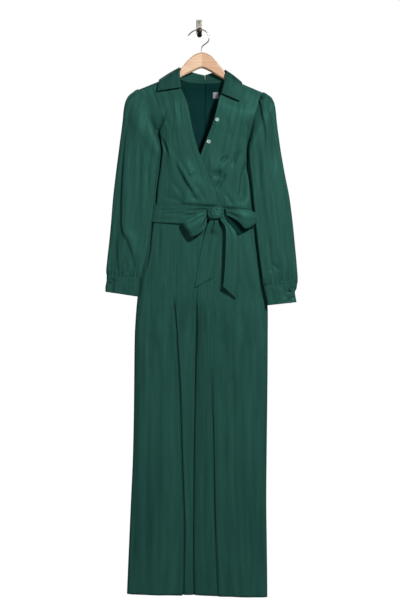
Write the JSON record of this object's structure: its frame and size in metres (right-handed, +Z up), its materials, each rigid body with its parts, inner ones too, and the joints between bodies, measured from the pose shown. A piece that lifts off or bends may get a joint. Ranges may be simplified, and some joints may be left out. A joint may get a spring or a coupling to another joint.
{
  "type": "jumpsuit on a hanger and wall hook",
  "caption": "Dark green satin wrap-front jumpsuit with long sleeves, wide legs and a bow sash, on a wooden hanger and wall hook.",
  "frame": {"origin": "centre of the wall plate's back face", "axes": "+Z up along the garment, +Y towards the wall, +X to the viewer's right, which is the wearer's left"},
  "size_m": [0.5357, 0.0953, 1.6224],
  "materials": {
    "satin": "satin",
    "satin_trim": "satin",
    "pale_wood": "varnished",
    "steel_wire": "satin",
    "grey_metal": "satin",
    "button": "gloss",
    "label_cloth": "matte"
  },
  "bodies": {
    "root": {"front_over": "satin", "front_under": "satin", "back_right": "satin", "back_left": "satin", "collar_right": "satin", "collar_left": "satin", "sleeve_right": "satin", "sleeve_left": "satin", "cuff_right": "satin_trim", "cuff_left": "satin_trim", "trouser_front_right": "satin", "trouser_front_left": "satin", "trouser_back_right": "satin", "trouser_back_left": "satin", "sash_front_right": "satin_trim", "sash_front_left": "satin_trim", "sash_back": "satin_trim", "sash_knot": "satin_trim", "sash_loop_right": "satin_trim", "sash_loop_left": "satin_trim", "sash_tail_right": "satin_trim", "sash_tail_left": "satin_trim", "button_upper": "button", "button_lower": "button", "cuff_button_right": "satin_trim", "cuff_button_left": "satin_trim", "label": "label_cloth", "hook_and_eye": "steel_wire", "hanger": "pale_wood", "hanger_hook": "steel_wire", "wall_hook": "grey_metal"}
  },
  "joints": []
}
